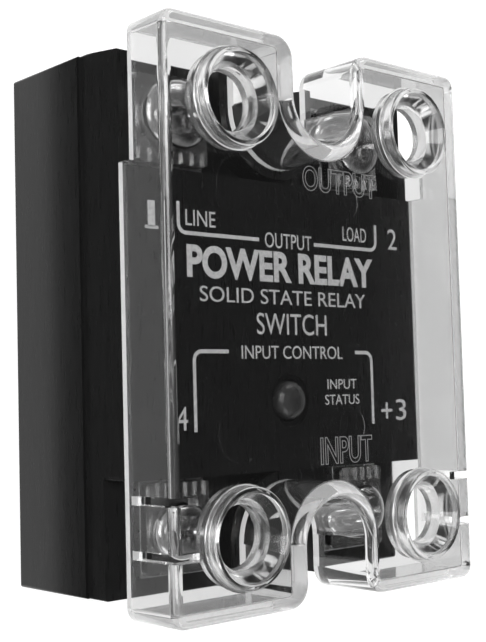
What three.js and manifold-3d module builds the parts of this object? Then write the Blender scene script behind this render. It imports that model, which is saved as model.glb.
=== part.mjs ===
// Panel-mount solid state relay with a clear finger-safe cover.
// Millimetres. The relay lies on its metal base: +Z is out of the printed face,
// +Y is the output end (terminals 1 and 2), +X is the side of terminals 2 and 3.
// The origin is the centre of the base plate's mounting face.
import * as THREE from "three";
import { mergeVertices } from "three/addons/utils/BufferGeometryUtils.js";
import Module from "manifold-3d";

const wasm = await Module();
wasm.setup();

// ---------------------------------------------------------------- driving dimensions
const OUTPUT_END = 1;
const INPUT_END = -1;
const GAP = 0.3; // clearance round a piece that passes through another

const BODY = {
  width: 45.2, length: 58.4, cornerRadius: 0.3, wall: 1.6,
  bottom: 0.3, crease: 13.3, creaseInset: 0.3,
  platform: 16.5, roof: 21.1, roofThickness: 1.8, plateauOutput: 16.1, plateauInput: 16.7,
};
const BASE = { thickness: 3.2, holeSpacing: 47.6, holeRadius: 2.3, tongueHalfWidth: 6.0, tongueEnd: 28.8 };
const BODY_NOTCH = { halfWidth: 6.4, arcCentre: 24.6, wall: 1.4, top: 19.8 };
const SIDE_WALL = { thickness: 1.4, top: 20.3, draftFrom: 14.2, draftIn: 0.85 };

const COVER = {
  width: 46.0, length: 61.4, cornerRadius: 1.5, skirt: 1.2, plate: 1.6, front: 29.16,
  backInput: 21.2, backOutput: 23.1, stepY: 16.1,
};
const COVER_NOTCH = { halfWidth: 4.8, arcCentre: 24.5, wall: 1.9, back: 20.0, mouthRadius: 2.5 };
const WELL = { bore: 3.5, radius: 5.2, back: 26.6, top: 30.6, lipRound: 0.6, segments: 28 };
const SNAP_SLOT = { ys: [-18.4, -23.85], width: 0.9, depth: 3.0, back: 22.3 };

const TERMINAL = { x: 14, y: 22.5, outerEnd: 27.2, clampOuter: 26.9, clampInner: 17.2 };
// Output terminals carry the load current, so they are the heavier pair.
const OUTPUT_TERMINAL = {
  width: 9.0, thickness: 1.2, hole: 2.4, clamp: 8.6, clampThickness: 1.2,
  headRadius: 3.8, headHeight: 2.2, shank: 1.75, tip: 10.2, nut: 7.4,
};
const INPUT_TERMINAL = {
  width: 7.6, thickness: 1.0, hole: 2.1, clamp: 7.4, clampThickness: 1.0,
  headRadius: 3.1, headHeight: 1.9, shank: 1.45, tip: 10.6, nut: 6.4,
};
const NUT = { thickness: 3.0, pocketFloor: 9.2, pocketRadius: 2.6, bossHalf: 6.0, bossBottom: 8.0 };
const RECESS = { width: 0.9, length: 4.2, depth: 1.1 };
const RIDGE = { count: 6, width: 0.45, height: 0.35, length: 1.5 };

const LED = { x: 0, y: -8.8, radius: 2.2, dome: 1.3, flange: 2.9, top: 22.3, recess: 3.0, recessDepth: 0.4 };

const BOARD = { halfWidth: 19.8, y0: -14.0, y1: 11.6, bottom: 11.0, thickness: 1.6, postRadius: 1.3 };
const BOARD_TOP = BOARD.bottom + BOARD.thickness;
const SUBSTRATE = { halfWidth: 19.6, y0: -6.0, y1: 12.0, thickness: 0.7 };
const COPPER = { thickness: 0.3, inset: 0.8, split: 1.2 };
const DIE = { size: 8.0, thickness: 0.4, x: 6.5, y: -0.5 };
const STRAP = { width: 2.4, thickness: 0.4, rise: 6.6 };
const LEAD_DROP = { outputY: 12.4, inputY: -12.2, outputFoot: 7.5, inputFoot: -9.6 };
const GEL = { bottom: 6.8, y0: -13.9, y1: 14.1, halfWidth: 20.6 };

const SUBSTRATE_TOP = BASE.thickness + SUBSTRATE.thickness;
const COPPER_TOP = SUBSTRATE_TOP + COPPER.thickness;
const DIE_TOP = COPPER_TOP + DIE.thickness;

// ---------------------------------------------------------------- finishes
const FINISH = {
  blackPlastic: { color: 0x191a1b, roughness: 0.55, metalness: 0 },
  clearPlastic: { color: 0xe6e9ea, roughness: 0.06, metalness: 0, transparent: true, opacity: 0.3 },
  nickel: { color: 0xb9b7b0, roughness: 0.3, metalness: 1 },
  tinned: { color: 0xc4c3bd, roughness: 0.38, metalness: 1 },
  aluminium: { color: 0xc2c3c4, roughness: 0.42, metalness: 1 },
  copper: { color: 0xb87348, roughness: 0.35, metalness: 1 },
  alumina: { color: 0xefece2, roughness: 0.6, metalness: 0 },
  silicon: { color: 0x4b4e55, roughness: 0.25, metalness: 0.5 },
  board: { color: 0x1f5a33, roughness: 0.5, metalness: 0 },
  gel: { color: 0xd9dadb, roughness: 0.25, metalness: 0 },
  epoxy: { color: 0x151515, roughness: 0.6, metalness: 0 },
  resistor: { color: 0x9a8f74, roughness: 0.5, metalness: 0 },
  capacitor: { color: 0xb29a36, roughness: 0.5, metalness: 0 },
  varistor: { color: 0x24468c, roughness: 0.5, metalness: 0 },
  led: { color: 0xd2d6d4, roughness: 0.1, metalness: 0 },
};

// ---------------------------------------------------------------- solid helpers
function solid(geometry) {
  const bare = geometry.index ? geometry.toNonIndexed() : geometry.clone();
  bare.deleteAttribute("normal");
  bare.deleteAttribute("uv");
  const merged = mergeVertices(bare, 1e-4);
  return new wasm.Manifold(new wasm.Mesh({
    numProp: 3,
    vertProperties: new Float32Array(merged.attributes.position.array),
    triVerts: new Uint32Array(merged.index.array),
  }));
}

function box(x0, x1, y0, y1, z0, z1) {
  const [wide, long, high] = [Math.abs(x1 - x0), Math.abs(y1 - y0), Math.abs(z1 - z0)];
  return solid(new THREE.BoxGeometry(wide, long, high)
    .translate((x0 + x1) / 2, (y0 + y1) / 2, (z0 + z1) / 2));
}

function blockAt(x, y, wide, long, z0, z1) {
  return box(x - wide / 2, x + wide / 2, y - long / 2, y + long / 2, z0, z1);
}

function rod(x, y, radius, z0, z1, segments = 24) {
  return solid(new THREE.CylinderGeometry(radius, radius, z1 - z0, segments)
    .rotateX(Math.PI / 2).translate(x, y, (z0 + z1) / 2));
}

function prism(shape, z0, z1, curveSegments = 6) {
  return solid(new THREE.ExtrudeGeometry(shape, { depth: z1 - z0, bevelEnabled: false, curveSegments })
    .translate(0, 0, z0));
}

// A solid of revolution about +Z from [radius, z] points that start and end on the axis.
function turned(points, segments) {
  const profile = points.map(([radius, z]) => new THREE.Vector2(radius, z));
  return solid(new THREE.LatheGeometry(profile, segments).rotateX(Math.PI / 2));
}

// A strip bent in the Y-Z plane: its side outline is swept across its width along X.
function strip(outline, x, width) {
  const side = new THREE.Shape(outline.map(([y, z]) => new THREE.Vector2(y, z)));
  const swept = new THREE.ExtrudeGeometry(side, { depth: width, bevelEnabled: false });
  const toAxes = new THREE.Matrix4().makeBasis(
    new THREE.Vector3(0, 1, 0), new THREE.Vector3(0, 0, 1), new THREE.Vector3(1, 0, 0));
  return solid(swept.applyMatrix4(toAxes).translate(x - width / 2, 0, 0));
}

function roundedRect(wide, long, radius) {
  const [x, y] = [wide / 2, long / 2];
  const shape = new THREE.Shape();
  shape.absarc(x - radius, y - radius, radius, 0, Math.PI / 2);
  shape.absarc(radius - x, y - radius, radius, Math.PI / 2, Math.PI);
  shape.absarc(radius - x, radius - y, radius, Math.PI, Math.PI * 1.5);
  shape.absarc(x - radius, radius - y, radius, Math.PI * 1.5, Math.PI * 2);
  return shape;
}

// A U-shaped notch open towards +Y or -Y, with a half-round inner end.
function notchShape(halfWidth, arcCentre, mouth, end) {
  const shape = new THREE.Shape();
  const turn = end > 0 ? Math.PI : 0;
  shape.absarc(0, end * arcCentre, halfWidth, turn, turn + Math.PI);
  shape.lineTo(end * halfWidth, end * mouth);
  shape.lineTo(-end * halfWidth, end * mouth);
  return shape;
}

const union = (first, ...rest) => rest.reduce((sum, next) => sum.add(next), first);
const cut = (first, ...rest) => rest.reduce((left, next) => left.subtract(next), first);

const group = new THREE.Group();

function addPiece(name, shape, finish) {
  const { vertProperties, triVerts } = shape.getMesh();
  const geometry = new THREE.BufferGeometry();
  geometry.setAttribute("position", new THREE.BufferAttribute(new Float32Array(vertProperties), 3));
  geometry.setIndex(new THREE.BufferAttribute(new Uint32Array(triVerts), 1));
  geometry.computeVertexNormals();
  const mesh = new THREE.Mesh(geometry, new THREE.MeshStandardMaterial(FINISH[finish]));
  mesh.name = name;
  group.add(mesh);
}

// ---------------------------------------------------------------- base plate
// Metal heat-transfer plate with a tongue under each mounting notch: a round hole at
// the output end and an open slot at the input end.
function basePlate() {
  const inner = BODY.wall + GAP;
  const plate = prism(roundedRect(BODY.width - 2 * inner, BODY.length - 2 * inner, 1), 0, BASE.thickness);
  const tongues = box(-BASE.tongueHalfWidth, BASE.tongueHalfWidth, -BASE.tongueEnd, BASE.tongueEnd,
    0, BASE.thickness);
  const holeY = BASE.holeSpacing / 2;
  const hole = rod(0, holeY, BASE.holeRadius, -1, BASE.thickness + 1);
  const slot = prism(notchShape(BASE.holeRadius, holeY, BODY.length, INPUT_END), -1, BASE.thickness + 1);
  return cut(union(plate, tongues), hole, slot);
}

// ---------------------------------------------------------------- housing
const plateauEnd = (end) => (end > 0 ? BODY.plateauOutput : -BODY.plateauInput);

function housingOutside() {
  const { width, length, cornerRadius, bottom, crease, creaseInset } = BODY;
  const upperWidth = width - 2 * creaseInset;
  const lower = prism(roundedRect(width, length, cornerRadius), bottom, crease);
  const upper = prism(roundedRect(upperWidth, length, cornerRadius), crease, BODY.platform);
  const [y0, y1] = [plateauEnd(INPUT_END), plateauEnd(OUTPUT_END)];
  const plateau = prism(roundedRect(upperWidth, y1 - y0, 0.5), BODY.platform, BODY.roof)
    .translate([0, (y0 + y1) / 2, 0]);
  return union(lower, upper, plateau);
}

// The hollow inside the walls, stepped down under the two terminal platforms.
function housingHollow() {
  const halfWidth = BODY.width / 2 - BODY.wall;
  const halfLength = BODY.length / 2 - BODY.wall;
  const [y0, y1] = [plateauEnd(INPUT_END) + BODY.wall, plateauEnd(OUTPUT_END) - BODY.wall];
  const floor = BODY.bottom - 1;
  const under = box(-halfWidth, halfWidth, -halfLength, halfLength, floor, BODY.platform - 2.5);
  const tall = box(1 - halfWidth, halfWidth - 1, y0, y1, floor, BODY.roof - BODY.roofThickness);
  return union(under, tall);
}

function notchWalls(end) {
  const { halfWidth, arcCentre, wall } = BODY_NOTCH;
  const outline = notchShape(halfWidth + wall, arcCentre, BODY.length / 2, end);
  return prism(outline, BASE.thickness + GAP, BODY_NOTCH.top, 10);
}
// The output terminals stand between the raised notch wall and a low wall at each side.
function outputSideWalls() {
  const outside = BODY.width / 2 - BODY.creaseInset;
  const { thickness, top } = SIDE_WALL;
  return [-1, 1].map((side) => box(side * outside, side * (outside - thickness),
    BODY.plateauOutput - 0.5, BODY.length / 2, BODY.platform - 0.5, top));
}
function outputEndDraft() {
  const end = BODY.length / 2;
  const { draftFrom, draftIn } = SIDE_WALL;
  return strip([[end, draftFrom], [end + 1, draftFrom], [end + 1, BODY.roof], [end - draftIn, BODY.roof]],
    0, BODY.width + 2);
}

function terminalBosses() {
  const { bossHalf, bossBottom } = NUT;
  return terminals().map(({ x, y }) => blockAt(x, y, 2 * bossHalf, 2 * bossHalf, bossBottom, BODY.platform));
}

function boardPosts() {
  const x = BOARD.halfWidth - 2.2;
  return [-x, x].flatMap((px) => [-7, 9].map((py) => (
    rod(px, py, BOARD.postRadius, BOARD_TOP, BODY.roof - 1, 12))));
}

// Square nut pocket, with a round hole below it for the screw's tip.
function nutPocket({ x, y, spec }) {
  const side = spec.nut + 2 * GAP;
  const seat = BODY.platform - NUT.thickness - GAP;
  return union(
    blockAt(x, y, side, side, seat, BODY.platform + 1),
    rod(x, y, NUT.pocketRadius, NUT.pocketFloor, BODY.platform));
}

// The slot in the step wall that a terminal strip passes through.
function stripSlot({ x, end, spec }) {
  const halfWidth = spec.width / 2 + GAP;
  const outside = plateauEnd(end) + end * 0.5;
  const inside = plateauEnd(end) - end * (BODY.wall + 0.5);
  return box(x - halfWidth, x + halfWidth, inside, outside,
    BODY.platform, BODY.platform + spec.thickness + GAP);
}

function housing() {
  const raised = union(notchWalls(OUTPUT_END), notchWalls(INPUT_END), ...outputSideWalls());
  const kept = union(raised, ...terminalBosses(), ...boardPosts());
  const shell = union(cut(housingOutside(), cut(housingHollow(), kept)), raised);
  const notches = [OUTPUT_END, INPUT_END].map((end) => (
    prism(notchShape(BODY_NOTCH.halfWidth, BODY_NOTCH.arcCentre, BODY.length, end), -1, BODY.roof + 1, 10)));
  const ledHole = rod(LED.x, LED.y, LED.radius + GAP, BODY.roof - BODY.roofThickness - 1, BODY.roof + 1);
  const ledRecess = rod(LED.x, LED.y, LED.recess, BODY.roof - LED.recessDepth, BODY.roof + 1, 32);
  return cut(shell, outputEndDraft(), ...notches, ...terminals().map(nutPocket), ...terminals().map(stripSlot),
    ledHole, ledRecess);
}

// ---------------------------------------------------------------- clear cover
function coverShell() {
  const { width, length, cornerRadius, skirt, plate, front, backInput, backOutput, stepY } = COVER;
  const outside = prism(roundedRect(width, length, cornerRadius), backInput, front);
  const hollow = prism(roundedRect(width - 2 * skirt, length - 2 * skirt, cornerRadius - skirt),
    backInput - 1, front - plate);
  const outputStep = box(-width, width, stepY, length, backInput - 1, backOutput);
  return cut(outside, hollow, outputStep);
}

function coverNotchWall(end) {
  const { halfWidth, arcCentre, wall, back } = COVER_NOTCH;
  return prism(notchShape(halfWidth + wall, arcCentre, COVER.length / 2, end), back, COVER.front, 12);
}

// The notch opening, widened by a rounded mouth at the cover's end face.
function coverNotchOpening(end) {
  const { halfWidth, arcCentre, mouthRadius, back } = COVER_NOTCH;
  const edge = COVER.length / 2;
  const throat = prism(notchShape(halfWidth, arcCentre, edge + 1, end), back - 1, COVER.front + 1, 12);
  const mouthHalf = halfWidth + mouthRadius;
  const mouth = box(-mouthHalf, mouthHalf, end * (edge - mouthRadius), end * (edge + 1),
    back - 2, COVER.front + 2);
  const corners = [-mouthHalf, mouthHalf].map((x) => (
    rod(x, end * (edge - mouthRadius), mouthRadius, back - 3, COVER.front + 3, 32)));
  return union(throat, cut(mouth, ...corners));
}

// A raised lip round a screwdriver well, with a short tube behind the front plate.
function wellRing({ x, y }) {
  const { bore, radius, back, top, lipRound, segments } = WELL;
  const ring = turned([[0, back], [radius, back], [radius, top - lipRound], [radius - lipRound, top],
    [0, top]], segments);
  const hole = turned([[0, back - 1], [bore, back - 1], [bore, top - lipRound], [bore + lipRound, top],
    [bore + lipRound, top + 1], [0, top + 1]], segments);
  return { ring: ring.translate([x, y, 0]), hole: hole.translate([x, y, 0]) };
}

// A pair of slots in each side skirt frees a snap tab between them.
function snapSlots() {
  const edge = COVER.width / 2;
  return [-1, 1].flatMap((side) => SNAP_SLOT.ys.map((y) => (
    box(side * (edge - SNAP_SLOT.depth), side * (edge + 1), y - SNAP_SLOT.width / 2,
      y + SNAP_SLOT.width / 2, SNAP_SLOT.back, COVER.front + 1))));
}

function cover() {
  const wells = terminals().map(wellRing);
  const ends = [OUTPUT_END, INPUT_END];
  const whole = union(coverShell(), ...ends.map(coverNotchWall), ...wells.map(({ ring }) => ring));
  return cut(whole, ...ends.map(coverNotchOpening), ...wells.map(({ hole }) => hole), ...snapSlots());
}

// ---------------------------------------------------------------- terminals
function terminals() {
  const { x, y } = TERMINAL;
  return [
    { number: 1, x: -x, y, end: OUTPUT_END, spec: OUTPUT_TERMINAL },
    { number: 2, x, y, end: OUTPUT_END, spec: OUTPUT_TERMINAL },
    { number: 3, x, y: -y, end: INPUT_END, spec: INPUT_TERMINAL },
    { number: 4, x: -x, y: -y, end: INPUT_END, spec: INPUT_TERMINAL },
  ];
}

// One bent strip: the contact on the platform, a run through the step wall, a drop
// inside the housing and a foot on the power stage or on the control board.
function terminalStrip({ x, y, end, spec }) {
  const top = BODY.platform + spec.thickness;
  const drop = end > 0 ? LEAD_DROP.outputY : LEAD_DROP.inputY;
  const foot = end > 0 ? LEAD_DROP.outputFoot : LEAD_DROP.inputFoot;
  const seat = end > 0 ? COPPER_TOP : BOARD_TOP;
  const outer = end * TERMINAL.outerEnd;
  const inner = drop + end * spec.thickness;
  const bent = strip([
    [outer, BODY.platform], [outer, top], [drop, top], [drop, seat + spec.thickness],
    [foot, seat + spec.thickness], [foot, seat], [inner, seat], [inner, BODY.platform],
  ], x, spec.width);
  return cut(bent, rod(x, y, spec.hole, 0, COVER.front));
}

// A clamp washer, captive on its screw. It reaches in towards the step wall, where its
// top has a row of ridges.
function clampWasher({ x, y, end, spec }) {
  const bottom = BODY.platform + spec.thickness;
  const top = bottom + spec.clampThickness;
  const { clampInner, clampOuter } = TERMINAL;
  const plate = prism(roundedRect(spec.clamp, clampOuter - clampInner, 0.8), bottom, top, 3)
    .translate([x, end * (clampInner + clampOuter) / 2, 0]);
  const pitch = (spec.clamp - 1) / (RIDGE.count - 1);
  const ridgeY = end * (clampInner + RIDGE.length / 2 + 0.1);
  const ridges = Array.from({ length: RIDGE.count }, (unused, index) => (
    blockAt(x + (index - (RIDGE.count - 1) / 2) * pitch, ridgeY, RIDGE.width, RIDGE.length,
      top - 0.2, top + RIDGE.height)));
  return cut(union(plate, ...ridges), rod(x, y, spec.hole, 0, COVER.front));
}

function terminalScrew({ x, y, spec }) {
  const seat = BODY.platform + spec.thickness + spec.clampThickness;
  const { headRadius, headHeight, shank, tip } = spec;
  const profile = [[0, tip], [shank - 0.4, tip], [shank, tip + 0.5], [shank, seat], [headRadius, seat],
    [headRadius, seat + headHeight * 0.5], [headRadius * 0.9, seat + headHeight * 0.78],
    [headRadius * 0.6, seat + headHeight * 0.95], [0, seat + headHeight]];
  const body = turned(profile, 24);
  const floor = seat + headHeight - RECESS.depth;
  const slots = [
    blockAt(0, 0, RECESS.length, RECESS.width, floor, seat + headHeight + 1),
    blockAt(0, 0, RECESS.width, RECESS.length, floor, seat + headHeight + 1),
  ];
  return cut(body, union(...slots)).translate([x, y, 0]);
}

function terminalNut({ x, y, spec }) {
  const block = blockAt(x, y, spec.nut, spec.nut, BODY.platform - NUT.thickness, BODY.platform);
  return cut(block, rod(x, y, spec.shank + GAP, 0, COVER.front));
}

// ---------------------------------------------------------------- status light
// The lens stands up through the roof, with its flange held under it.
function statusLed() {
  const { radius, flange, dome, top } = LED;
  const seat = BODY.roof - BODY.roofThickness - 1.1;
  const arc = [0, 30, 60].map((angle) => {
    const turn = THREE.MathUtils.degToRad(angle);
    return [radius * Math.cos(turn), top - dome + dome * Math.sin(turn)];
  });
  const lens = turned([[0, seat], [flange, seat], [flange, seat + 0.9], [radius, seat + 0.9],
    ...arc, [0, top]], 24).translate([LED.x, LED.y, 0]);
  const leads = [-1.27, 1.27].map((offset) => (
    blockAt(LED.x + offset, LED.y, 0.5, 0.5, BOARD_TOP, seat + 0.5)));
  return union(lens, ...leads);
}

// ---------------------------------------------------------------- power stage
function ceramicSubstrate() {
  return box(-SUBSTRATE.halfWidth, SUBSTRATE.halfWidth, SUBSTRATE.y0, SUBSTRATE.y1,
    BASE.thickness, SUBSTRATE_TOP);
}

function copperPad(side) {
  return box(side * COPPER.split / 2, side * (SUBSTRATE.halfWidth - COPPER.inset),
    SUBSTRATE.y0 + COPPER.inset, SUBSTRATE.y1 - COPPER.inset, SUBSTRATE_TOP, COPPER_TOP);
}

function thyristorDie(side) {
  return blockAt(side * DIE.x, DIE.y, DIE.size, DIE.size, COPPER_TOP, DIE_TOP);
}

// Arched strap from the top of one die to the copper pad under the other.
function dieStrap(side) {
  const { width, thickness, rise } = STRAP;
  const y = DIE.y - side * 2.4;
  const [footX, dieX] = [-side * 1.6, side * DIE.x];
  const post = (x, z0) => blockAt(x, y, thickness, width, z0, rise);
  const arch = box(footX - side * thickness / 2, dieX + side * thickness / 2, y - width / 2, y + width / 2,
    rise - thickness, rise);
  const dieFoot = blockAt(dieX, y, 2.4, width, DIE_TOP, DIE_TOP + thickness);
  const padFoot = blockAt(footX, y, 1.2, width, COPPER_TOP, COPPER_TOP + thickness);
  return union(arch, post(footX, COPPER_TOP), post(dieX, DIE_TOP), dieFoot, padFoot);
}

const gatePlace = (side) => ({ x: side * (DIE.x + 2.8), y: DIE.y + side * 2.8 });

function gateLead(side) {
  const { x, y } = gatePlace(side);
  return rod(x, y, 0.45, DIE_TOP, BOARD.bottom, 12);
}

// Silicone layer over the power stage, with clearance holes for what passes through it.
function pottingGel() {
  const slab = box(-GEL.halfWidth, GEL.halfWidth, GEL.y0, GEL.y1, GEL.bottom, BOARD.bottom);
  const gates = [-1, 1].map((side) => {
    const { x, y } = gatePlace(side);
    return rod(x, y, 0.45 + GAP, GEL.bottom - 1, BOARD.bottom + 1, 12);
  });
  const { width, thickness } = OUTPUT_TERMINAL;
  const drops = [-1, 1].map((side) => (
    blockAt(side * TERMINAL.x, LEAD_DROP.outputY + thickness / 2, width + 2 * GAP, thickness + 2 * GAP,
      GEL.bottom - 1, BOARD.bottom + 1)));
  return cut(slab, ...gates, ...drops);
}

// ---------------------------------------------------------------- control board and its parts
function controlBoard() {
  return box(-BOARD.halfWidth, BOARD.halfWidth, BOARD.y0, BOARD.y1, BOARD.bottom, BOARD_TOP);
}

function optocoupler() {
  const [x, y] = [5.2, -1.0];
  const body = blockAt(x, y, 6.4, 7.3, BOARD_TOP + 0.7, BOARD_TOP + 4.1);
  const legs = [-1, 1].flatMap((side) => [-2.54, 0, 2.54].map((step) => union(
    blockAt(x + side * 3.7, y + step, 0.3, 1.0, BOARD_TOP, BOARD_TOP + 2.5),
    blockAt(x + side * 3.35, y + step, 1.0, 1.0, BOARD_TOP + 2.2, BOARD_TOP + 2.5))));
  return union(body, ...legs);
}

// Small signal transistor: a round case with one flat side, on three legs.
function controlTransistor() {
  const [x, y] = [-9.5, -6.5];
  const round = rod(x, y, 2.3, BOARD_TOP + 1.6, BOARD_TOP + 6.2, 20);
  const flat = box(x - 3, x + 3, y + 1.3, y + 3, BOARD_TOP + 1, BOARD_TOP + 7);
  const legs = [-1.27, 0, 1.27].map((step) => (
    blockAt(x + step, y, 0.45, 0.45, BOARD_TOP, BOARD_TOP + 2)));
  return union(cut(round, flat), ...legs);
}

// Axial part: a barrel along X or Y held just above the board by two bent leads.
function axialPart(x, y, radius, length, alongX) {
  const height = BOARD_TOP + radius + 0.4;
  const barrel = solid(new THREE.CylinderGeometry(radius, radius, length, 16));
  const lead = 0.5;
  const reach = length / 2 + 1.2;
  const wire = solid(new THREE.BoxGeometry(lead, 2 * reach, lead));
  const drops = [-1, 1].map((side) => {
    const tall = height - BOARD_TOP + lead / 2;
    return solid(new THREE.BoxGeometry(lead, lead, tall)
      .translate(0, side * (reach - lead / 2), lead / 2 - tall / 2));
  });
  const turn = alongX ? 90 : 0;
  return union(barrel, wire, ...drops).rotate([0, 0, turn]).translate([x, y, height]);
}

function snubberCapacitor() {
  const [x, y] = [-9.5, 7.2];
  const body = blockAt(x, y, 12.0, 5.0, BOARD_TOP + 0.5, BOARD_TOP + 6.2);
  const legs = [-5, 5].map((step) => blockAt(x + step, y, 0.6, 0.6, BOARD_TOP, BOARD_TOP + 1));
  return union(body, ...legs);
}

function varistor() {
  const [x, y] = [9.5, 8.6];
  const radius = 2.8;
  const centre = BOARD_TOP + radius + 0.6;
  const disc = solid(new THREE.CylinderGeometry(radius, radius, 3.4, 24).translate(x, y, centre));
  const legs = [-2.5, 2.5].map((step) => blockAt(x + step, y, 0.6, 0.6, BOARD_TOP, centre - 1));
  return union(disc, ...legs);
}

// ---------------------------------------------------------------- assembly
addPiece("base_plate", basePlate(), "aluminium");
addPiece("housing", housing(), "blackPlastic");
addPiece("cover", cover(), "clearPlastic");
addPiece("status_led", statusLed(), "led");

for (const place of terminals()) {
  addPiece(`terminal_${place.number}`, terminalStrip(place), "tinned");
  addPiece(`clamp_washer_${place.number}`, clampWasher(place), "nickel");
  addPiece(`terminal_screw_${place.number}`, terminalScrew(place), "nickel");
  addPiece(`terminal_nut_${place.number}`, terminalNut(place), "nickel");
}

addPiece("ceramic_substrate", ceramicSubstrate(), "alumina");
for (const [letter, side] of [["a", -1], ["b", 1]]) {
  addPiece(`copper_pad_${letter}`, copperPad(side), "copper");
  addPiece(`thyristor_die_${letter}`, thyristorDie(side), "silicon");
  addPiece(`die_strap_${letter}`, dieStrap(side), "copper");
  addPiece(`gate_lead_${letter}`, gateLead(side), "copper");
}
addPiece("potting_gel", pottingGel(), "gel");

addPiece("control_board", controlBoard(), "board");
addPiece("optocoupler", optocoupler(), "epoxy");
addPiece("control_transistor", controlTransistor(), "epoxy");
addPiece("protection_diode", axialPart(5.6, -8.6, 1.3, 4.6, true), "epoxy");
addPiece("input_resistor", axialPart(-14.2, -3.0, 1.6, 7.0, false), "resistor");
addPiece("bias_resistor", axialPart(-4.2, -1.5, 1.1, 5.0, false), "resistor");
addPiece("gate_resistor_a", axialPart(13.2, -1.6, 1.1, 5.0, false), "resistor");
addPiece("gate_resistor_b", axialPart(16.2, -1.6, 1.1, 5.0, false), "resistor");
addPiece("snubber_capacitor", snubberCapacitor(), "capacitor");
addPiece("varistor", varistor(), "varistor");

export default group;
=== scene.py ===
"""Looks of the panel-mount relay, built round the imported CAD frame.

Pieces are modelled in millimetres and brought to metres when they are placed. +Z is up from the
mounting plate, +Y is the output end, and terminals 1 and 4 are on the -X side.
"""
import math

import bmesh
import bpy
from mathutils import Matrix, Vector


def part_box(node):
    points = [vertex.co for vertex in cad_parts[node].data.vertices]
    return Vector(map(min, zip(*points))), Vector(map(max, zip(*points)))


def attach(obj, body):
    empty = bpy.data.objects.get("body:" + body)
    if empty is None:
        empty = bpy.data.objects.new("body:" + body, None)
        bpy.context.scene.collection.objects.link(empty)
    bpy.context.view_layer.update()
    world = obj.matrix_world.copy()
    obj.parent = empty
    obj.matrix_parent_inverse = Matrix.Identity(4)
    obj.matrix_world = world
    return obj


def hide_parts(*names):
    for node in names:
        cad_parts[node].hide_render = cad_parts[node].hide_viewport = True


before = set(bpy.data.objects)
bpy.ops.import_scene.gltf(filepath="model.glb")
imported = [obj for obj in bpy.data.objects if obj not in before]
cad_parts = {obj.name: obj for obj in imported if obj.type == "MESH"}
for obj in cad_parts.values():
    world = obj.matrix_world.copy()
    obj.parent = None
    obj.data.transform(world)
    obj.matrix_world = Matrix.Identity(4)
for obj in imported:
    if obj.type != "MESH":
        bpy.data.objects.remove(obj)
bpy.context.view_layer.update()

MM = 0.001
TERMINALS = (1, 2, 3, 4)

# Cover, in millimetres. The notch and the wells are where the CAD cover has them.
COVER_HALF_WIDTH, COVER_HALF_LENGTH, COVER_CORNER = 23.0, 30.7, 1.5
COVER_FRONT, COVER_PLATE, COVER_SKIRT = 29.16, 1.6, 1.2
COVER_EDGE_ROUND, COVER_INNER_ROUND = 0.8, 0.25
PLATE_UNDER = COVER_FRONT - COVER_PLATE
SKIRT_BACK, SKIRT_BACK_OUTPUT, SKIRT_STEP_Y = 21.2, 23.1, 16.1
NOTCH_HALF_WIDTH, NOTCH_ARC_Y, NOTCH_WALL, NOTCH_BACK, NOTCH_MOUTH = 4.8, 24.5, 1.9, 20.0, 2.5
WELL_X, WELL_Y, WELL_BORE, WELL_MOUTH, WELL_RADIUS = 14.0, 22.5, 3.3, 4.5, 5.2
WELL_BACK, WELL_THROAT, WELL_TOP = 26.9, 28.6, 30.6
WELL_LIP_ROUND, WELL_FLARE = 0.25, 0.3
SNAP_SLOT_YS, SNAP_SLOT_WIDTH, SNAP_SLOT_DEPTH, SNAP_SLOT_BACK = (-18.4, -23.85), 0.9, 3.0, 22.3
# Round marks that the mould's ejector pins leave under the plate: centre and radius.
EJECTOR_MARKS = (((-12.9, 13.8), 3.0), ((3.2, 13.4), 2.0), ((-13.4, -12.05), 3.0), ((3.2, -11.9), 2.0))
EJECTOR_DEPTH = 0.03

FACE_Z = 21.1            # the housing's printed face
INK = 0.012              # thickness of the print
PRINT_BACK = FACE_Z + 0.004
LINE = 0.42              # width of a printed line
BEND = 1.0               # radius of a printed line's corner

THREAD_PITCH, THREAD_DEPTH = 0.79375, 0.28
SCREW_SHANK = {1: 1.75, 2: 1.75, 3: 1.45, 4: 1.45}
RECESS_HALF_WIDTH, RECESS_DEPTH = 0.42, 1.3

LENS_RADIUS, LENS_FLANGE, LENS_DOME, LENS_SEAT = 2.2, 2.8, 1.3, FACE_Z - 2.9
LENS_LEAD_X, LENS_LEAD_HALF = 1.27, 0.25


# ---------------------------------------------------------------- materials
def node(tree, kind, **values):
    made = tree.nodes.new(kind)
    for name, value in values.items():
        setattr(made, name, value)
    return made


def noise(tree, coords, scale, detail=3.0, stretch=(1, 1, 1)):
    """A noise value over the object, with scale in cells to the metre, drawn out along an axis by stretch."""
    mapping = node(tree, "ShaderNodeMapping")
    mapping.inputs["Scale"].default_value = stretch
    tree.links.new(coords, mapping.inputs["Vector"])
    texture = node(tree, "ShaderNodeTexNoise")
    texture.inputs["Scale"].default_value = scale
    texture.inputs["Detail"].default_value = detail
    tree.links.new(mapping.outputs["Vector"], texture.inputs["Vector"])
    return texture.outputs["Fac"]


def spread(tree, value, low, high, start=0.3, end=0.7):
    made = node(tree, "ShaderNodeMapRange")
    made.inputs["From Min"].default_value = start
    made.inputs["From Max"].default_value = end
    made.inputs["To Min"].default_value = low
    made.inputs["To Max"].default_value = high
    tree.links.new(value, made.inputs["Value"])
    return made.outputs["Result"]


def tint(tree, value, dark, light):
    made = node(tree, "ShaderNodeValToRGB")
    made.color_ramp.elements[0].position = 0.3
    made.color_ramp.elements[1].position = 0.7
    made.color_ramp.elements[0].color = (*dark, 1)
    made.color_ramp.elements[1].color = (*light, 1)
    tree.links.new(value, made.inputs["Fac"])
    return made.outputs["Color"]


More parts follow.
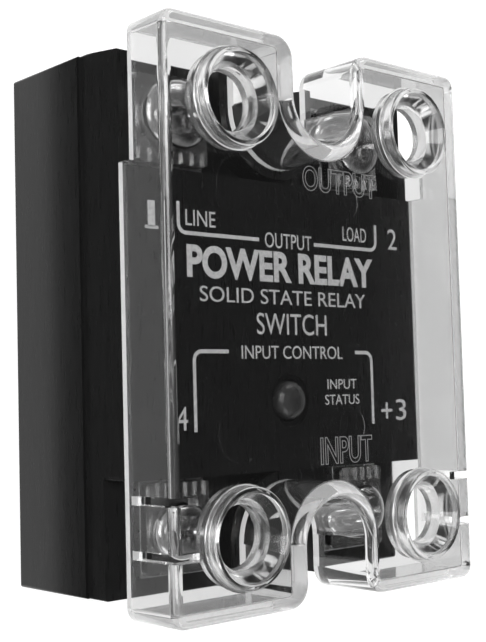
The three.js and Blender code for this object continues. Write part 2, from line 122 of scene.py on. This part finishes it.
def finish(name, dark, light, rough, grain=900, stretch=(1, 1, 1), bump=0.0, bump_grain=3000, **sockets):
    """A material whose colour runs between dark and light, and whose roughness between the two in rough."""
    made = bpy.data.materials.new(name)
    made.use_nodes = True
    tree = made.node_tree
    shader = tree.nodes["Principled BSDF"]
    coords = node(tree, "ShaderNodeTexCoord").outputs["Object"]
    patch = noise(tree, coords, grain, stretch=stretch)
    tree.links.new(tint(tree, patch, dark, light), shader.inputs["Base Color"])
    wear = noise(tree, coords, grain * 1.7, detail=5.0, stretch=stretch)
    tree.links.new(spread(tree, wear, *rough), shader.inputs["Roughness"])
    if bump:
        made_bump = node(tree, "ShaderNodeBump")
        made_bump.inputs["Strength"].default_value = bump
        made_bump.inputs["Distance"].default_value = 0.00005
        tree.links.new(noise(tree, coords, bump_grain, stretch=stretch), made_bump.inputs["Height"])
        tree.links.new(made_bump.outputs["Normal"], shader.inputs["Normal"])
    for socket, value in sockets.items():
        shader.inputs[socket.replace("_", " ")].default_value = value
    return made


def grey(value):
    return (value, value, value)


def clear_plastic(name, rough):
    """Clear moulded plastic, through which light falls without a caustic."""
    made = finish(name, grey(0.76), grey(0.79), rough, grain=160, IOR=1.585, Transmission_Weight=1.0)
    tree = made.node_tree
    shader, output = tree.nodes["Principled BSDF"], tree.nodes["Material Output"]
    straight = node(tree, "ShaderNodeBsdfTransparent")
    straight.inputs["Color"].default_value = (0.88, 0.88, 0.88, 1)
    mix = node(tree, "ShaderNodeMixShader")
    path = node(tree, "ShaderNodeLightPath")
    tree.links.new(path.outputs["Is Shadow Ray"], mix.inputs["Fac"])
    tree.links.new(shader.outputs["BSDF"], mix.inputs[1])
    tree.links.new(straight.outputs["BSDF"], mix.inputs[2])
    tree.links.new(mix.outputs["Shader"], output.inputs["Surface"])
    return made


BLACK_PLASTIC = finish("black_plastic", grey(0.005), grey(0.008), (0.26, 0.32), grain=2200, stretch=(1, 0.1, 1),
                       bump=0.06, bump_grain=6000, IOR=1.50, Specular_IOR_Level=0.2)
CLEAR = clear_plastic("clear_plastic", (0.02, 0.05))
CLEAR_WELL = clear_plastic("clear_plastic_well", (0.13, 0.19))
MATT_EDGE = finish("clear_matt_edge", grey(0.72), grey(0.80), (0.5, 0.6), grain=2500, IOR=1.585,
                   Transmission_Weight=0.5)
# The moulded words' outlines are drawn in grey, half-clouded plastic. This is painted edge light that stands in
# for the light the clear letters' edges catch, not a colour of the clear plastic.
LETTER_EDGE_PAINTED_LIGHT = finish("letter_edge_painted_light", grey(0.22), grey(0.28), (0.3, 0.4), grain=2500, IOR=1.585,
                Transmission_Weight=0.3)
PRINT = finish("white_print", grey(0.44), grey(0.60), (0.5, 0.65), grain=2600)
ALUMINIUM = finish("aluminium_plate", grey(0.42), grey(0.56), (0.34, 0.5), grain=700, stretch=(1, 0.05, 1),
                   bump=0.3, bump_grain=5000, Metallic=1.0)
SCREW_NICKEL = finish("screw_nickel", grey(0.36), grey(0.50), (0.12, 0.2), grain=1500, bump=0.08, Metallic=1.0)
CLAMP_NICKEL = finish("clamp_nickel", grey(0.26), grey(0.36), (0.18, 0.28), grain=1100, bump=0.1, Metallic=1.0)
TIN = finish("tinned_strip", grey(0.28), grey(0.40), (0.24, 0.36), grain=900, bump=0.25, Metallic=1.0)
STEEL = finish("nut_steel", grey(0.30), grey(0.42), (0.35, 0.5), grain=900, bump=0.2, Metallic=1.0)
COPPER = finish("copper", (0.55, 0.26, 0.16), (0.72, 0.36, 0.23), (0.3, 0.48), grain=800, bump=0.2, Metallic=1.0)
ALUMINA = finish("alumina", grey(0.70), grey(0.80), (0.5, 0.65), grain=2500, bump=0.2)
SILICON = finish("silicon", (0.10, 0.105, 0.12), (0.16, 0.165, 0.19), (0.12, 0.22), grain=500, Metallic=0.7)
GEL = finish("potting_gel", (0.05, 0.05, 0.055), (0.09, 0.09, 0.1), (0.12, 0.25), grain=350, Coat_Weight=0.4)
LAMINATE = finish("board_laminate", (0.03, 0.12, 0.06), (0.05, 0.18, 0.09), (0.3, 0.45), grain=1600,
                  stretch=(1, 0.2, 1), bump=0.2)
EPOXY = finish("component_epoxy", grey(0.02), grey(0.035), (0.4, 0.55), grain=2200, bump=0.3)
RESISTOR = finish("resistor_coat", (0.50, 0.40, 0.26), (0.60, 0.49, 0.33), (0.3, 0.45), grain=1500)
CAPACITOR = finish("capacitor_case", (0.42, 0.33, 0.06), (0.52, 0.41, 0.09), (0.25, 0.4), grain=1000)
VARISTOR = finish("varistor_coat", (0.05, 0.12, 0.3), (0.07, 0.16, 0.38), (0.2, 0.35), grain=900, bump=0.2)
LENS = finish("led_lens", grey(0.018), grey(0.03), (0.14, 0.22), grain=600, IOR=1.5, Coat_Weight=0.3)

CAD_FINISH = {
    "ceramic_substrate": ALUMINA, "copper_pad": COPPER, "thyristor_die": SILICON, "die_strap": COPPER,
    "gate_lead": COPPER, "potting_gel": GEL, "control_board": LAMINATE, "optocoupler": EPOXY,
    "control_transistor": EPOXY, "protection_diode": EPOXY, "input_resistor": RESISTOR,
    "bias_resistor": RESISTOR, "gate_resistor": RESISTOR, "snubber_capacitor": CAPACITOR, "varistor": VARISTOR,
}
for name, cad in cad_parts.items():
    for start, material in CAD_FINISH.items():
        if name.startswith(start):
            cad.data.materials.clear()
            cad.data.materials.append(material)


# ---------------------------------------------------------------- meshes, in millimetres
def mesh_of(bm, name):
    bmesh.ops.recalc_face_normals(bm, faces=bm.faces)
    made = bpy.data.meshes.new(name)
    bm.to_mesh(made)
    bm.free()
    return made


def loft(levels):
    """A closed solid through outlines of equal point count, each given with its height."""
    bm = bmesh.new()
    rings = [[bm.verts.new((x, y, z)) for x, y in outline] for outline, z in levels]
    for low, high in zip(rings, rings[1:]):
        for i, vert in enumerate(low):
            j = (i + 1) % len(low)
            bm.faces.new((vert, low[j], high[j], high[i]))
    bm.faces.new(rings[0])
    bm.faces.new(rings[-1])
    return mesh_of(bm, "loft")


def lathe(profile, segments=48, centre=(0, 0), radius_at=None):
    """A solid turned about a vertical axis. The profile runs from axis to axis as (radius, height)."""
    bm = bmesh.new()
    rings = []
    for radius, z in profile:
        if radius < 1e-6:
            rings.append([bm.verts.new((centre[0], centre[1], z))])
            continue
        ring = []
        for i in range(segments):
            turn = 2 * math.pi * i / segments
            r = radius_at(radius, z, turn) if radius_at else radius
            ring.append(bm.verts.new((centre[0] + r * math.cos(turn), centre[1] + r * math.sin(turn), z)))
        rings.append(ring)
    for low, high in zip(rings, rings[1:]):
        for i in range(segments):
            j = (i + 1) % segments
            corners = [low[i % len(low)], low[j % len(low)], high[j % len(high)], high[i % len(high)]]
            corners = list(dict.fromkeys(corners))
            if len(corners) > 2:
                bm.faces.new(corners)
    return mesh_of(bm, "lathe")


def block(x0, x1, y0, y1, z0, z1):
    x0, x1 = sorted((x0, x1))
    y0, y1 = sorted((y0, y1))
    return loft([([(x0, y0), (x1, y0), (x1, y1), (x0, y1)], z) for z in (z0, z1)])


def arc(cx, cy, radius, start, end, steps):
    """Points of an arc, with its ends, in degrees."""
    turns = [math.radians(start + (end - start) * i / steps) for i in range(steps + 1)]
    return [(cx + radius * math.cos(t), cy + radius * math.sin(t)) for t in turns]


def helper(mesh):
    made = bpy.data.objects.new("helper", mesh)
    bpy.context.scene.collection.objects.link(made)
    return made


def applied(obj):
    """The object's mesh with its modifiers applied. The object goes."""
    bpy.context.view_layer.update()
    graph = bpy.context.evaluated_depsgraph_get()
    made = bpy.data.meshes.new_from_object(obj.evaluated_get(graph))
    bpy.data.objects.remove(obj)
    return made


def combined(mesh, operation, *others):
    obj = helper(mesh)
    tools = [helper(other) for other in others]
    for tool in tools:
        change = obj.modifiers.new("change", "BOOLEAN")
        change.operation = operation
        change.solver = "EXACT"
        change.object = tool
    made = applied(obj)
    for tool in tools:
        bpy.data.objects.remove(tool)
    return made


def cut(mesh, *others):
    return combined(mesh, "DIFFERENCE", *others)


def union(mesh, *others):
    return combined(mesh, "UNION", *others)


def eased(mesh, width, segments=2, angle=35):
    """The mesh with its sharp edges rounded."""
    obj = helper(mesh)
    change = obj.modifiers.new("ease", "BEVEL")
    change.width = width
    change.segments = segments
    change.limit_method = "ANGLE"
    change.angle_limit = math.radians(angle)
    change.miter_outer = "MITER_ARC"
    return applied(obj)


def tidied(mesh, gap=1e-4):
    """The mesh without doubled points or needless edges on its flat faces."""
    bm = bmesh.new()
    bm.from_mesh(mesh)
    bmesh.ops.remove_doubles(bm, verts=bm.verts, dist=gap)
    bmesh.ops.dissolve_limit(bm, angle_limit=math.radians(0.5), verts=bm.verts, edges=bm.edges)
    bmesh.ops.dissolve_degenerate(bm, dist=gap, edges=bm.edges)
    return mesh_of(bm, mesh.name)


def place(name, mesh, body, material, slot, *nodes, smooth=32):
    """A finished piece from a mesh in millimetres, riding on a body and standing for CAD nodes."""
    mesh.transform(Matrix.Scale(MM, 4))
    mesh.name = name
    mesh.shade_smooth()
    mesh.set_sharp_from_angle(angle=math.radians(smooth))
    for face in mesh.polygons:
        if max(abs(part) for part in face.normal) > 0.99999:
            face.use_smooth = False
    mesh.materials.clear()
    mesh.materials.append(material)
    made = bpy.data.objects.new(name, mesh)
    bpy.context.scene.collection.objects.link(made)
    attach(made, body)
    if nodes:
        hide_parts(*nodes)
    return made


def box_mm(name):
    low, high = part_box(name)
    return [value / MM for value in low], [value / MM for value in high]


def centre_mm(name):
    low, high = box_mm(name)
    return [(a + b) / 2 for a, b in zip(low, high)]


def from_cad(name, width, segments=2):
    """A copy of a CAD node in millimetres, cleaned and with its edges rounded."""
    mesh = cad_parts[name].data.copy()
    mesh.transform(Matrix.Scale(1 / MM, 4))
    return eased(tidied(mesh), width, segments)


def joined(meshes, name):
    bm = bmesh.new()
    for mesh in meshes:
        bm.from_mesh(mesh)
    bmesh.ops.remove_doubles(bm, verts=bm.verts, dist=1e-5)
    return mesh_of(bm, name)


# ---------------------------------------------------------------- clear cover
def cover_outline(inset, notch_wall):
    """The cover's outline, inset, with a notch in each end that grows by the inset and by notch_wall."""
    half_width, half_length = COVER_HALF_WIDTH - inset, COVER_HALF_LENGTH - inset
    corner = max(COVER_CORNER - inset, 0.3)
    notch = NOTCH_HALF_WIDTH + inset + notch_wall
    mouth = max(NOTCH_MOUTH - inset - notch_wall, 0.3)
    cx, cy = half_width - corner, half_length - corner
    mx, my = notch + mouth, half_length - mouth
    points = arc(cx, cy, corner, 0, 90, 10)
    points += arc(mx, my, mouth, 90, 180, 10)
    points += arc(0, NOTCH_ARC_Y, notch, 0, -180, 48)
    points += arc(-mx, my, mouth, 0, 90, 10)
    points += arc(-cx, cy, corner, 90, 180, 10)
    points += arc(-cx, -cy, corner, 180, 270, 10)
    points += arc(-mx, -my, mouth, 270, 360, 10)
    points += arc(0, -NOTCH_ARC_Y, notch, 180, 0, 48)
    points += arc(mx, -my, mouth, 180, 270, 10)
    points += arc(cx, -cy, corner, 270, 360, 10)
    return points


def rounded_stack(inset, notch_wall, bottom, top, radius):
    """A prism of the cover's outline whose top edge is rounded."""
    steps = 12
    levels = [(cover_outline(inset, notch_wall), bottom)]
    for i in range(steps + 1):
        turn = math.pi / 2 * i / steps
        levels.append((cover_outline(inset + radius * (1 - math.cos(turn)), notch_wall),
                       top - radius + radius * math.sin(turn)))
    return loft(levels)


def well_ring(x, y):
    """The well's ring with no hole: a flare off the plate, then a lip with a small round."""
    flare, lip = WELL_FLARE, WELL_LIP_ROUND
    profile = [(0, WELL_BACK), (WELL_RADIUS, WELL_BACK), (WELL_RADIUS, COVER_FRONT - flare),
               (WELL_RADIUS + flare, COVER_FRONT - flare), (WELL_RADIUS + flare, COVER_FRONT)]
    profile += arc(WELL_RADIUS + flare, COVER_FRONT + flare, flare, 260, 180, 4)
    profile += arc(WELL_RADIUS - lip, WELL_TOP - lip, lip, 0, 90, 8)
    profile += [(0, WELL_TOP)]
    return lathe(profile, 96, (x, y))


def well_bore(x, y):
    """The well's hole: a straight throat that flares out to a rounded mouth."""
    lip = WELL_LIP_ROUND
    profile = [(0, WELL_BACK - 1), (WELL_BORE, WELL_BACK - 1)]
    profile += arc(WELL_BORE + 1.0, WELL_THROAT - 0.3, 1.0, 180, 145, 6)
    profile += arc(WELL_MOUTH + lip, WELL_TOP - lip, lip, 150, 90, 6)
    profile += [(WELL_MOUTH + lip, WELL_TOP + 1), (0, WELL_TOP + 1)]
    return lathe(profile, 96, (x, y))


def cover_mesh():
    outer = rounded_stack(0, 0, NOTCH_BACK, COVER_FRONT, COVER_EDGE_ROUND)
    hollow = rounded_stack(COVER_SKIRT, NOTCH_WALL - COVER_SKIRT, NOTCH_BACK - 5, PLATE_UNDER,
                           COVER_INNER_ROUND)
    wide, long = COVER_HALF_WIDTH + 5, COVER_HALF_LENGTH + 5
    beside = NOTCH_HALF_WIDTH + NOTCH_WALL
    trims = []
    for side in (-1, 1):
        trims.append(block(side * beside, side * wide, -long, long, 0, SKIRT_BACK))
        trims.append(block(side * beside, side * wide, SKIRT_STEP_Y, long, 0, SKIRT_BACK_OUTPUT))
    slots = [block(side * (COVER_HALF_WIDTH - SNAP_SLOT_DEPTH), side * wide, y - SNAP_SLOT_WIDTH / 2,
                   y + SNAP_SLOT_WIDTH / 2, SNAP_SLOT_BACK, COVER_FRONT + 3)
             for side in (-1, 1) for y in SNAP_SLOT_YS]
    places = [(sx * WELL_X, sy * WELL_Y) for sx in (-1, 1) for sy in (-1, 1)]
    low, high = PLATE_UNDER - 1, PLATE_UNDER + EJECTOR_DEPTH
    dimples = [lathe([(0, low), (r, low), (r, high), (0, high)], 40, centre) for centre, r in EJECTOR_MARKS]
    shell = cut(outer, hollow, *trims)
    shell = union(shell, *[well_ring(x, y) for x, y in places])
    return cut(shell, *[well_bore(x, y) for x, y in places], *slots, *dimples)


shell = place("cover_shell", eased(tidied(cover_mesh()), 0.08, 2, 40), "cover", CLEAR, "clear_cover", "cover")
shell.data.materials.append(MATT_EDGE)       # on the skirt's back edges
shell.data.materials.append(CLEAR_WELL)      # on the wells, apart from the plate's flat front and back
for face in shell.data.polygons:
    off_well = math.hypot(abs(face.center.x) - WELL_X * MM, abs(face.center.y) - WELL_Y * MM)
    behind_plate = face.center.z < (PLATE_UNDER - 0.06) * MM
    if face.normal.z < -0.9 and face.center.z < (SKIRT_BACK_OUTPUT + 0.1) * MM:
        face.material_index = 1
    elif off_well < (WELL_RADIUS + 0.35) * MM and (abs(face.normal.z) < 0.99 or behind_plate):
        face.material_index = 2


def moulded_word(text, x0, x1, y0, y1):
    """The raised outline of a word on the cover's front."""
    curve = bpy.data.curves.new("word", "FONT")
    curve.body = text
    curve.fill_mode = "NONE"
    curve.bevel_depth = 0.014
    curve.bevel_resolution = 2
    curve.resolution_u = 6
    curve.offset = 0.012
    made = applied(helper(curve))
    xs, ys, _ = zip(*(vert.co for vert in made.vertices))
    kx, ky = (x1 - x0) / (max(xs) - min(xs)), (y1 - y0) / (max(ys) - min(ys))
    start = (x0 - min(xs) * kx, y0 - min(ys) * ky, COVER_FRONT)
    made.transform(Matrix.Translation(start) @ Matrix.Diagonal((kx, ky, (kx + ky) / 2, 1)))
    return made


# The word outlines carry painted edge light: grey plastic in place of clear.
place("moulded_words", joined([moulded_word("OUTPUT", -4.25, 7.6, 13.9, 16.7),
                               moulded_word("INPUT", -2.75, 5.5, -15.9, -12.9)], "moulded_words"),
      "cover", LETTER_EDGE_PAINTED_LIGHT, "clear_cover")


# ---------------------------------------------------------------- housing and metal
place("housing_moulding", from_cad("housing", 0.22, 3), "relay_body", BLACK_PLASTIC, "housing_plastic",
      "housing")
place("mounting_plate", from_cad("base_plate", 0.15), "relay_body", ALUMINIUM, "base_metal", "base_plate")
for n in TERMINALS:
    place(f"strip_{n}", from_cad(f"terminal_{n}", 0.12), "relay_body", TIN, "terminal_tin", f"terminal_{n}")
    place(f"clamp_plate_{n}", from_cad(f"clamp_washer_{n}", 0.1), f"clamp_{n}", CLAMP_NICKEL, "washer_nickel",
          f"clamp_washer_{n}")
    place(f"captive_nut_{n}", from_cad(f"terminal_nut_{n}", 0.2), "relay_body", STEEL, "nut_steel",
          f"terminal_nut_{n}")


def screw_mesh(n):
    """A pan-head screw with a cross recess and a cut thread."""
    low, high = box_mm(f"terminal_screw_{n}")
    x, y, _ = centre_mm(f"terminal_screw_{n}")
    head = (high[0] - low[0]) / 2
    _, clamp_high = box_mm(f"clamp_washer_{n}")
    seat = clamp_high[2] - 0.35
    height = high[2] - seat
    shank = SCREW_SHANK[n]
    steps = 8
    rows = int((seat - 0.6 - low[2]) / THREAD_PITCH * steps)
    profile = [(0, low[2]), (shank - 0.45, low[2])]
    profile += [(shank - (0.3 if i < steps else 0.0), low[2] + 0.05 + THREAD_PITCH * i / steps)
                for i in range(rows)]
    profile += [(shank - 0.2, seat - 0.35), (shank - 0.1, seat)]
    profile += [(head - 0.2, seat), (head, seat + 0.2)]
    profile += [(head * math.cos(t), seat + 0.42 * height + 0.58 * height * math.sin(t))
                for t in (math.radians(a) for a in range(0, 90, 9))]
    profile += [(0, high[2])]

    def threaded(radius, z, turn):
        if radius > shank + 1e-6 or z > seat - 0.5 or radius < shank - 0.4:
            return radius
        phase = (z / THREAD_PITCH - turn / (2 * math.pi)) % 1.0
        return radius - THREAD_DEPTH * abs(2 * phase - 1)

    body = lathe(profile, 48, (x, y), radius_at=threaded)
    reach, half = 0.62 * head, RECESS_HALF_WIDTH
    top, floor = high[2] + 0.5, high[2] - min(RECESS_DEPTH, 0.62 * height)
    slots = []
    for long_x in (True, False):
        levels = []
        for z, part, thick in ((floor, 0.45, 0.6), (top, 1.15, 1.1)):
            a, b = (reach * part, half * thick) if long_x else (half * thick, reach * part)
            levels.append(([(x - a, y - b), (x + a, y - b), (x + a, y + b), (x - a, y + b)], z))
        slots.append(loft(levels))
    return eased(tidied(cut(body, *slots)), 0.07, 2, 40)


for n in TERMINALS:
    place(f"screw_detail_{n}", screw_mesh(n), f"screw_{n}", SCREW_NICKEL, "screw_nickel", f"terminal_screw_{n}")


# ---------------------------------------------------------------- status light
def lens_mesh():
    low, high = box_mm("status_led")
    x, y, _ = centre_mm("status_led")
    radius, flange, seat, half = LENS_RADIUS, LENS_FLANGE, LENS_SEAT, LENS_LEAD_HALF
    top = high[2]
    shoulder = top - LENS_DOME
    profile = [(0, seat), (flange - 0.1, seat), (flange, seat + 0.1), (flange, seat + 0.8),
               (radius, seat + 0.85), (radius, shoulder)]
    profile += [(radius * math.cos(t), shoulder + LENS_DOME * math.sin(t))
                for t in (math.radians(a) for a in range(8, 90, 8))]
    profile += [(0, top)]
    dome = lathe(profile, 48, (x, y))
    leads = [block(x + dx - half, x + dx + half, y - half, y + half, low[2], seat + 0.4)
             for dx in (-LENS_LEAD_X, LENS_LEAD_X)]
    return union(dome, *leads)


place("lens", lens_mesh(), "relay_body", LENS, "led_lens", "status_led")


# ---------------------------------------------------------------- print on the face
def line(points):
    """A printed line through points, as a flat band."""
    bottom, top = PRINT_BACK, PRINT_BACK + INK
    left, right = [], []
    for i, (x, y) in enumerate(points):
        before = points[max(i - 1, 0)]
        after = points[min(i + 1, len(points) - 1)]
        way = Vector((after[0] - before[0], after[1] - before[1])).normalized()
        side = Vector((-way.y, way.x)) * LINE / 2
        left.append((x + side.x, y + side.y))
        right.append((x - side.x, y - side.y))
    bm = bmesh.new()
    rows = [[bm.verts.new((*a, z)) for a, z in ((l, bottom), (r, bottom), (r, top), (l, top))]
            for l, r in zip(left, right)]
    for a, b in zip(rows, rows[1:]):
        for i in range(4):
            j = (i + 1) % 4
            bm.faces.new((a[i], a[j], b[j], b[i]))
    bm.faces.new(rows[0])
    bm.faces.new(rows[-1])
    return mesh_of(bm, "line")


def bracket(x_end, y_line, x_side, y_side):
    """A line along y_line from x_end, turned round a corner and on along x_side to y_side."""
    sx = 1 if x_side > x_end else -1
    sy = 1 if y_side > y_line else -1
    bend = [(x_side - sx * BEND + sx * BEND * math.sin(t), y_line + sy * BEND - sy * BEND * math.cos(t))
            for t in (math.radians(a) for a in range(0, 91, 15))]
    return line([(x_end, y_line)] + bend + [(x_side, y_side)])


def label(text, x0, x1, y0, y1, bold=0.0):
    """Printed letters that fill a rectangle, from the built-in typeface."""
    curve = bpy.data.curves.new("word", "FONT")
    curve.body = text
    curve.extrude = 0.5
    curve.offset = bold
    curve.resolution_u = 6
    made = applied(helper(curve))
    xs, ys, zs = zip(*(vert.co for vert in made.vertices))
    sides = ((x0, x1), (y0, y1), (PRINT_BACK, PRINT_BACK + INK))
    scale = [(high - low) / (max(s) - min(s)) for (low, high), s in zip(sides, (xs, ys, zs))]
    start = [low - min(s) * k for (low, _), s, k in zip(sides, (xs, ys, zs), scale)]
    made.transform(Matrix.Translation(start) @ Matrix.Diagonal((*scale, 1)))
    return made


PRINTED = {
    "print_outlines": [
        bracket(-9.17, -3.3, -14.05, -11.9), bracket(11.0, -3.3, 13.87, -11.95),
        bracket(-4.2, 9.36, -15.79, 12.67), bracket(4.54, 9.35, 15.34, 12.5)],
    "print_numbers": [
        label("1", -18.6, -17.65, 9.8, 12.6), label("_", -19.0, -17.25, 9.6, 9.95),    # a 1 on its foot
        label("2", 17.63, 19.3, 9.64, 12.2),
        label("3", 18.1, 20.0, -11.66, -9.07), label("4", -16.65, -15.1, -11.68, -9.19),
        label("+", 15.4, 17.4, -11.4, -9.4)],
    "print_function": [
        label("OUTPUT", -3.3, 4.15, 8.56, 10.3), label("INPUT CONTROL", -7.27, 8.82, -4.1, -2.61),
        label("INPUT", 6.1, 11.1, -7.65, -6.49), label("STATUS", 5.65, 11.5, -9.48, -8.3),
        label("LINE", -14.8, -10.6, 10.2, 11.9), label("LOAD", 9.5, 13.66, 10.15, 11.9)],
    "print_title": [
        label("POWER RELAY", -14.75, 14.66, 4.6, 8.2, 0.035),
        label("SOLID STATE RELAY", -13.05, 13.12, 2.08, 3.77),
        label("SWITCH", -4.88, 6.24, -1.36, 1.08)],
}
for name, pieces in PRINTED.items():
    place(name, joined(pieces, name), "relay_body", PRINT, "housing_plastic")


# ---------------------------------------------------------------- stage, lights and camera
def stage_material(name, colour, glow):
    made = bpy.data.materials.new(name)
    made.use_nodes = True
    shader = made.node_tree.nodes["Principled BSDF"]
    shader.inputs["Base Color"].default_value = (*grey(colour), 1)
    shader.inputs["Roughness"].default_value = 0.9
    shader.inputs["Specular IOR Level"].default_value = 0.0
    shader.inputs["Emission Color"].default_value = (1, 1, 1, 1)
    shader.inputs["Emission Strength"].default_value = glow
    return made


def flat_stage(name, x0, x1, y0, y1, z, material):
    bm = bmesh.new()
    bm.faces.new([bm.verts.new((x, y, z)) for x, y in ((x0, y0), (x1, y0), (x1, y1), (x0, y1))])
    mesh = bpy.data.meshes.new(name)
    bm.to_mesh(mesh)
    bm.free()
    mesh.materials.append(material)
    made = bpy.data.objects.new(name, mesh)
    bpy.context.scene.collection.objects.link(made)
    return made


FLOOR_REACH, FLOOR_Z = 2.5, -0.0002
FLAG_X, FLAG_REACH, FLAG_Z = (-0.0475, -0.0275), 0.12, 0.0006

flat_stage("floor", -FLOOR_REACH, FLOOR_REACH, -FLOOR_REACH, FLOOR_REACH, FLOOR_Z,
           stage_material("floor_paper", 0.5, 0.72))
# A dark flag beside the relay, seen only in reflections, which keeps the black side wall black.
flag = flat_stage("flag", *FLAG_X, -FLAG_REACH, FLAG_REACH, FLAG_Z, stage_material("flag_cloth", 0.01, 0.0))
for kind in ("camera", "diffuse", "transmission", "shadow", "volume_scatter"):
    setattr(flag, f"visible_{kind}", False)

# The room is pale, and darkens towards the side that the relay's face mirrors.
MIRRORED_SIDE = (0.667, 0.07, 0.742)
ROOM_LEVELS = ((0.75, 0.55), (0.93, 0.05))       # how far towards that side, and how bright

world = bpy.data.worlds.new("studio")
bpy.context.scene.world = world
world.use_nodes = True
tree = world.node_tree
toward = node(tree, "ShaderNodeVectorMath", operation="DOT_PRODUCT")
toward.inputs[1].default_value = MIRRORED_SIDE
tree.links.new(node(tree, "ShaderNodeTexCoord").outputs["Generated"], toward.inputs[0])
ramp = node(tree, "ShaderNodeValToRGB")
for stop, (position, level) in zip(ramp.color_ramp.elements, ROOM_LEVELS):
    stop.position = position
    stop.color = (*grey(level), 1)
tree.links.new(toward.outputs["Value"], ramp.inputs["Fac"])
tree.links.new(ramp.outputs["Color"], tree.nodes["Background"].inputs["Color"])


def softbox(name, direction, distance, wide, high, power):
    """A flat lamp that faces the object from a direction."""
    lamp = bpy.data.lights.new(name, "AREA")
    lamp.shape = "RECTANGLE"
    lamp.size, lamp.size_y = wide, high
    lamp.energy = power
    made = bpy.data.objects.new(name, lamp)
    bpy.context.scene.collection.objects.link(made)
    way = Vector(direction).normalized()
    made.location = way * distance + Vector((0, 0, 0.015))
    made.rotation_euler = way.to_track_quat("Z", "Y").to_euler()
    made.visible_camera = False
    return made


softbox("key", (-0.7, 0.2, 0.6), 0.7, 0.5, 0.4, 3.6)
softbox("fill", (-0.3, -0.9, 0.6), 0.8, 0.4, 0.3, 1.2)
softbox("rim", (0.35, 0.95, 0.55), 0.8, 0.35, 0.25, 1.2)

# The fitted view of the relay, from its left and above.
CAMERA_AT = (-0.094547, -0.008524, 0.119410)
CAMERA_RIGHT = Vector((0.74488, -0.02695, 0.66665))
CAMERA_UP = Vector((-0.02367, 0.99749, 0.06678))
CAMERA_LENS, CAMERA_SENSOR = 66.5495, 36.0
camera = bpy.data.cameras.new("camera")
camera.sensor_width = CAMERA_SENSOR
camera.lens = CAMERA_LENS
camera.clip_start = 0.001
holder = bpy.data.objects.new("camera", camera)
bpy.context.scene.collection.objects.link(holder)
back = CAMERA_RIGHT.cross(CAMERA_UP)
turn = Matrix((CAMERA_RIGHT, CAMERA_UP, back)).transposed().to_4x4()
holder.matrix_world = Matrix.Translation(CAMERA_AT) @ turn
bpy.context.scene.camera = holder
bpy.context.scene.view_settings.view_transform = "Standard"

bpy.context.view_layer.update()
